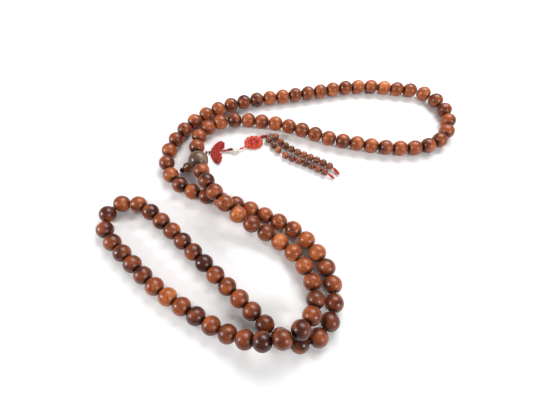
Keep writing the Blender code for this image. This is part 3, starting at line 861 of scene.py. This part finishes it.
def make_loop():
    """The loop round the strand's cord, and its end with the knot that the pendant swings on."""
    across = (ENDS[1][0] - GURU).normalized()
    middle = ENDS[1][0] - across * (PENDANT_GAP / 2)
    side = across.cross(UP).normalized()
    top = side.cross(across)
    reach = CORD_RADIUS + GAP + PENDANT_CORD_RADIUS
    ring = []
    for t in range(RING_STEPS):
        turn = t * math.tau / RING_STEPS
        ring.append(middle + (side * math.cos(turn) + top * math.sin(turn)) * reach)
    plies = ply_paths(ring, PENDANT_CORD_RADIUS * 0.42, 2, 0.003, True)
    paths = [(path, PENDANT_CORD_RADIUS * 0.5) for path in plies]
    cord_piece("loop_ring", paths, MAROON, "middle", ["pendant_loop"], closed=True)
    route = [middle + side * reach] + [place(point) for point in (*STUB_ROUTE, PIVOT_KNOT)]
    paths = twisted(smooth_line(route, 6), PENDANT_CORD_RADIUS, 2, PENDANT_TWIST)
    paths += wrapped_knot(place(PIVOT_KNOT), UP, PIVOT_KNOT_RADIUS, PIVOT_KNOT_RADIUS * 1.9, 2)
    cord_piece("loop_end", paths, MAROON, "middle")


def polygon_holds(outline, x, y):
    """Whether a closed outline of (x, y) points holds this one."""
    held = False
    for (ax, ay), (bx, by) in zip(outline, outline[1:] + outline[:1]):
        if (ay > y) != (by > y) and x < ax + (y - ay) * (bx - ax) / (by - ay):
            held = not held
    return held


FAN_SWEEP = range(96, 265, 2)  # degrees, a little past both ends of the fan's arc
FAN_ROWS = 6
FAN_HOLE = 0.004  # no row of plait is closer to the fan's centre
FAN_PLAIT = 0.0015  # the plait's radius in its row
FAN_PITCH = 0.0031  # from row to row
FAN_RIB = (-0.0203, -0.0150, -0.0096)  # along the middle of the fan, from its edge


def on_circle(radius, turn):
    return radius * math.cos(turn), radius * math.sin(turn)


def fan_outline():
    """The fan's round side as an arc about its centre, and the lobes of its other side."""
    low, high = FAN_ARC
    steps = 24
    arc = [math.radians(low + (high - low) * t / steps) for t in range(steps + 1)]
    return [on_circle(FAN_ARC_RADIUS, turn) for turn in arc] + list(FAN_LOBES)


def fan_rows(outline, row_radius, reach):
    """The stretches of one row of plait, an arc about the fan's centre, that stay inside the outline."""
    rows, row = [], []
    for degrees in FAN_SWEEP:
        x, y = on_circle(row_radius, math.radians(degrees))
        ring = [on_circle(reach, k * math.pi / 4) for k in range(8)]
        if all(polygon_holds(outline, x + dx, y + dy) for dx, dy in ring):
            row.append((x, y))
        elif row:
            rows.append(row)
            row = []
    return [row for row in rows + [row] if len(row) >= 4]


def make_pendant_knot():
    """The small dark knot between the loop and the fan."""
    knot = place(PIVOT_KNOT)
    edge = place((FAN_CENTRE[0] - FAN_ARC_RADIUS, FAN_CENTRE[1]), FAN_THICKNESS / 2)
    out = (edge - knot).normalized()
    start = knot + out * (PIVOT_KNOT_RADIUS + GAP)
    paths = wrapped_knot((start + edge) / 2, out, 0.0018, (edge - start).length, 2)
    cord_piece("pendant_knot", paths, MAROON, "pendant_fan", ["pendant_cord"])


def make_fan():
    """Two layers of plait in rows about the fan's centre, with swelling plies, and a rib across them."""
    centre = place(FAN_CENTRE, 0)
    outline = fan_outline()
    paths = []
    for layer, height in enumerate((FAN_PLAIT, FAN_THICKNESS - FAN_PLAIT)):
        for row in range(FAN_ROWS):
            radius = FAN_ARC_RADIUS - FAN_PLAIT - (row + 0.5 * layer) * FAN_PITCH
            if radius < FAN_HOLE:
                continue
            for stretch in fan_rows(outline, radius, FAN_PLAIT * 0.75):
                points = [centre + Vector((x, y, height)) for x, y in stretch]
                for path, ply in twisted(points, FAN_PLAIT * 1.06, 2, 0.0056):
                    swell = [0.80 + 0.34 * math.cos(i * math.pi / 2) for i in range(len(path))]
                    paths.append((path, [ply * share for share in swell]))
    rib = [centre + Vector((x, 0.0008, FAN_THICKNESS - 0.0012)) for x in FAN_RIB]
    paths += twisted(rib, 0.0012, 2, 0.0036)
    cord_piece("fan", paths, CRIMSON, "pendant_fan", ["fan_knot"])


BRAID_SPOTS = (0.0, 0.003, 0.006, 0.009, 0.0115)  # along the stone cord, beside the fan
STONE_KNOTS = ((0.0100, 0.0019), (0.0124, 0.0021), (0.0146, 0.0020))  # along the cord, and radius
CLASP_SPOTS = (0.0268, 0.0292)  # the knots that hold the stone
STONE_BORE = PENDANT_CORD_RADIUS + GAP
STONE_STEPS = (16, 50)
PETAL_COUNT = 5


def petals(angle, along, radius):
    """The share of the stone's radius: two rows of petals, half a petal apart, on both sides of a groove. The
    hole stays round."""
    if radius <= STONE_BORE:
        return 1.0
    shift = 0.0 if along > 0 else math.pi / PETAL_COUNT
    groove = 1 - 0.13 * math.exp(-((along / 0.0007) ** 2))
    return (0.90 + 0.10 * abs(math.cos(PETAL_COUNT / 2 * (angle + shift)))) * groove


def make_stone():
    """The carved stone bead on its cord."""
    before, here, after = (place(JADE_ROUTE[JADE_AT + step]) for step in (-1, 0, 1))
    half = JADE_LENGTH / 2
    steps = STONE_STEPS[0]
    outer = []
    for t in range(steps + 1):
        along = half * math.cos(math.pi * (0.06 + 0.88 * t / steps))
        radius = JADE_RADIUS * (1 - abs(along / half) ** 2.6) ** 0.5 + 0.0008
        outer.append((along, min(radius, JADE_RADIUS)))
    profile = outer + [(outer[-1][0], STONE_BORE), (outer[0][0], STONE_BORE)]
    mesh = turned_mesh("carved_stone", profile, STONE_STEPS[1], petals)
    stone = new_piece("carved_stone", mesh, STONE, "jade", ["jade_bead"])
    stone.matrix_world = placed(here, (after - before).normalized())
    return settle(stone)


def make_stone_cord():
    """The cord from the fan to the rosette, with the braid, knots and stone that are on it."""
    points = smooth_line([place(point) for point in JADE_ROUTE], 5)
    line = Line(points)
    paths = twisted(points, PENDANT_CORD_RADIUS, 2, PENDANT_TWIST)
    cord = cord_piece("stone_cord", paths, ORANGE, "pendant_flower", ["jade_cord"])
    paths = twisted([line.at(along) for along in BRAID_SPOTS], 0.0015, 2, 0.0042)
    braid = cord_piece("stone_braid", paths, CRIMSON, "pendant_flower")
    paths = []
    for along, radius in STONE_KNOTS:
        paths += wrapped_knot(line.at(along), line.direction(along), radius, 0.0026, 2)
    knots = cord_piece("stone_cord_knots", paths, MAROON, "pendant_flower")
    paths = []
    for along in CLASP_SPOTS:
        paths += wrapped_knot(line.at(along), line.direction(along), 0.0015, 0.0024, 2)
    clasp = cord_piece("stone_clasp", paths, ORANGE, "pendant_flower")
    declare_cord(points, [make_stone(), knots, braid, clasp])


FLOWER_PLAIT = (0.0014, 2, 0.0046)  # radius, plies and the length of one turn
FLOWER_RINGS = ((0.68, 0.0028), (0.34, 0.0015), (0.58, 0.0015), (0.78, 0.0015))  # share of its size, height
FLOWER_MIDDLE_RINGS = ((0.21, 0.0034), (0.45, 0.0034))
FRINGE = (0.84, 0.0017, 0.0021)  # share of its size, and a fringe loop's half length and half width
FRINGE_STEPS = 14


def oval(share, height, steps=40):
    """A closed ring of points at a share of the flower's size."""
    centre = place(FLOWER_CENTRE, 0)
    turns = [t * math.tau / steps for t in range(steps)]
    a, b = FLOWER_RADII[0] * share, FLOWER_RADII[1] * share
    return [centre + Vector((a * math.cos(turn), b * math.sin(turn), height)) for turn in turns]


def fringe_loop(turn):
    """The ring of points of one small loop at the rosette's edge, leaning outwards."""
    share, half_length, half_width = FRINGE
    x, y = FLOWER_RADII[0] * share * math.cos(turn), FLOWER_RADII[1] * share * math.sin(turn)
    middle = place(FLOWER_CENTRE, 0) + Vector((x, y, 0))
    out = Vector((math.cos(turn), math.sin(turn), 0))
    side = Vector((-math.sin(turn), math.cos(turn), 0))
    ring = []
    for t in range(FRINGE_STEPS):
        angle = t * math.tau / FRINGE_STEPS
        lift = UP * (0.0016 + 0.0007 * math.cos(angle + 0.6))
        flat = out * half_length * math.cos(angle) + side * half_width * math.sin(angle)
        ring.append(middle + flat + lift)
    return ring


def make_flower():
    """The rosette: rings of plait that rise to a crimson middle with a button, and a fringe of loops."""
    paths, middle_paths = [], []
    for share, height in FLOWER_RINGS:
        paths += twisted(oval(share, height), *FLOWER_PLAIT, closed=True)
    for share, height in FLOWER_MIDDLE_RINGS:
        middle_paths += twisted(oval(share, height), *FLOWER_PLAIT, closed=True)
    cord_piece("flower_middle", middle_paths, CRIMSON, "pendant_flower", closed=True)
    for loop in range(FLOWER_LOOPS):
        ring = fringe_loop((loop + 0.5) * math.tau / FLOWER_LOOPS)
        paths += twisted(ring, 0.00095, 2, 0.0030, closed=True)
    cord_piece("flower", paths, ORANGE, "pendant_flower", ["flower_knot"], closed=True)
    button = wrapped_knot(place(FLOWER_CENTRE, 0.0030), UP, 0.0022, 0.0034, 2, 0.0009)
    cord_piece("flower_button", button, ORANGE, "pendant_flower")


def make_stem():
    """The crimson stem from the rosette, with its knot, and the dark knot that the strings swing on."""
    stem = [place(point) for point in (*STEM_ROUTE, SPLIT_KNOT)]
    paths = twisted(smooth_line(stem, 5), 0.0016, 2, 0.0042)
    paths += wrapped_knot(stem[1], (stem[2] - stem[0]).normalized(), 0.0020, 0.0026, 2)
    cord_piece("stem", paths, CRIMSON, "pendant_flower", ["counter_stem"])
    paths = wrapped_knot(stem[-1], UP, SPLIT_KNOT_RADIUS, SPLIT_KNOT_RADIUS * 1.9, 2)
    cord_piece("split_knot", paths, MAROON, "pendant_flower")


FAIR_COUNTERS = ("a_02", "a_06", "a_10", "b_03", "b_04", "b_06", "b_10")
DEEP_COUNTERS = ("a_03", "a_04", "b_01", "b_02", "b_05", "b_07")
TIP_LOOPS = ((1.0, 0.0017, 0.0), (0.90, 0.0009, 0.0006), (0.78, 0.0004, -0.0006))  # length, half width, lift


def tip_loops(neck, last):
    """A cord doubled back on itself in three loops that lie side by side."""
    out = last - neck
    side = out.cross(UP).normalized()
    half = 12  # steps along each side of a loop
    paths = []
    for share, reach, lift in TIP_LOOPS:
        loop = []
        for t in range(2 * half + 1):
            angle = math.pi * (t / half - 1) * 0.97  # the loop's two ends don't quite meet
            middle = neck + out * share * (0.5 + 0.5 * math.cos(angle))
            loop.append(middle + side * reach * math.sin(angle) + UP * (lift * math.sin(angle) ** 2))
        paths += twisted(loop, 0.00075, 2, 0.0026)
    return paths


def tip_spindle(neck, last):
    """A cord's end bound round with thread."""
    out = (last - neck).normalized()
    length = (last - neck).length
    return wrapped_knot(neck + out * length * 0.48, out, 0.0018, length * 0.92, 9, 0.00055)


def make_counter(letter, number, start_point, end_point):
    """One turned counter between its two hole ends, with its own cut of the wood."""
    half = COUNTER_LENGTH / 2
    name = f"counter_{letter}_{number:02d}"
    dice = random.Random(name)
    axis = (end_point - start_point).normalized()
    matrix = placed((start_point + end_point) / 2, axis, dice.uniform(0, 6))
    profile = bead_profile(COUNTER_RADIUS, half, COUNTER_BORE, COUNTER_STEPS[0])
    mesh = turned_mesh(name, profile, COUNTER_STEPS[1])
    mark = f"{letter}_{number:02d}"
    tone = 0.10 * (mark in FAIR_COUNTERS) - 0.16 * (mark in DEEP_COUNTERS) + dice.gauss(0, 0.05)
    eye = Vector([dice.gauss(0, 1) for _ in range(3)]).normalized()
    grain(mesh, tone, 0.15, eye, number + 600, half)
    piece = new_piece("small_" + name, mesh, COUNTER_WOOD, name, [name])
    piece.matrix_world = matrix
    return settle(piece)


def make_counters(letter):
    """One string of counters: the turned beads, the cord through them and its knotted end."""
    line = Line(smooth_line([place(point) for point in COUNTER_ROUTES[letter]], 12))
    body = f"counter_string_{letter}"
    half = COUNTER_LENGTH / 2
    distance = FIRST_COUNTER[letter]
    path = [line.at(0), line.at(distance / 3), line.at(2 * distance / 3)]
    pieces = []
    for number in range(1, COUNTERS + 1):
        finish = line.chord_end(distance, COUNTER_LENGTH)
        start_point, end_point = line.at(distance), line.at(finish)
        pieces.append(make_counter(letter, number, start_point, end_point))
        if number == 1 or number - 1 in SLACK_AFTER[letter]:
            path.append(start_point)
        else:
            path[-1] = (path[-1] + start_point) / 2
        path.append(end_point)
        bend = line.direction(finish - half).angle(line.direction(finish + half))
        distance = finish + COUNTER_SPACE + 2 * COUNTER_RIM * math.sin(bend / 2)
        distance += SLACK_AFTER[letter].get(number, 0)
    neck = path[-1] + line.direction(finish) * (3 * GAP)
    last = place(TIP_ENDS[letter])
    path += [neck, neck.lerp(last, 0.3)]
    points = resample(path, 0.0012)
    paths = twisted(points, COUNTER_CORD_RADIUS, 2, 0.0026)
    cord = cord_piece("string_" + letter, paths, CRIMSON, body, [f"counter_cord_{letter}"])
    paths = tip_loops(neck, last) if letter == "a" else tip_spindle(neck, last)
    tip = cord_piece("tip_" + letter, paths, CRIMSON, body)
    declare_cord(points, [tip, *pieces])


# The studio

CAMERA_PLACE = Vector((-0.033, -0.205, 0.3727)) - ORIGIN
CAMERA_PITCH = 62.26  # degrees below the horizon
CAMERA_LENS = 22.68
FLOOR_HALF_SIZE = 6
FILL_LIGHT = 0.34  # the white world's strength as a light, and as it is seen behind the mala
BACKGROUND = 0.95
LIGHTS = (  # name, place, the point it faces, width and height, power
    ("softbox_back", (0.28, 0.72, 0.88), (0, 0.05, 0), (0.9, 0.6), 15.5),
    ("softbox_left", (-1.05, -0.20, 0.52), (0, 0, 0), (0.26, 0.26), 8.5),
    ("softbox_right", (0.75, -0.66, 0.66), (0, 0, 0), (0.24, 0.24), 6),
)


def area_light(name, place_at, target, size, power):
    data = bpy.data.lights.new(name, "AREA")
    data.shape = "RECTANGLE"
    data.size, data.size_y = size
    data.energy = power
    light = bpy.data.objects.new(name, data)
    light.location = place_at
    light.rotation_euler = (Vector(target) - Vector(place_at)).to_track_quat("-Z", "Y").to_euler()
    bpy.context.scene.collection.objects.link(light)


def make_camera():
    camera_data = bpy.data.cameras.new("camera")
    camera_data.lens = CAMERA_LENS
    camera_data.sensor_width = 36
    camera = bpy.data.objects.new("camera", camera_data)
    camera.location = CAMERA_PLACE
    camera.rotation_euler = (math.radians(90 - CAMERA_PITCH), 0, 0)
    bpy.context.scene.collection.objects.link(camera)
    bpy.context.scene.camera = camera


def make_floor():
    mesh = bpy.data.meshes.new("studio_floor")
    far = FLOOR_HALF_SIZE
    mesh.from_pydata([(-far, -far, 0), (far, -far, 0), (far, far, 0), (-far, far, 0)], [], [(0, 1, 2, 3)])
    mesh.materials.append(floor_material())
    floor = bpy.data.objects.new("studio_floor", mesh)
    floor.location.z = -0.0001  # a hair under the beads
    bpy.context.scene.collection.objects.link(floor)


def make_world():
    """A white world: a soft fill light that looks whiter behind the mala than it shines on it."""
    world = bpy.data.worlds.new("studio")
    world.use_nodes = True
    sky = world.node_tree
    background = sky.nodes["Background"]
    background.inputs["Color"].default_value = (1.0, 1.0, 1.0, 1)
    rays = sky.nodes.new("ShaderNodeLightPath")
    strength = sky.nodes.new("ShaderNodeMapRange")
    strength.inputs["To Min"].default_value = FILL_LIGHT
    strength.inputs["To Max"].default_value = BACKGROUND
    sky.links.new(rays.outputs["Is Camera Ray"], strength.inputs["Value"])
    sky.links.new(strength.outputs["Result"], background.inputs["Strength"])
    bpy.context.scene.world = world
    bpy.context.scene.view_settings.view_transform = "Standard"


make_camera()
make_floor()
for light in LIGHTS:
    area_light(*light)
make_world()
make_stone_cord()
for letter in COUNTER_ROUTES:
    make_counters(letter)
make_beads()
make_strand_cords()
make_guru()
make_stupa()
make_tail()
make_loop()
make_pendant_knot()
make_fan()
make_flower()
make_stem()
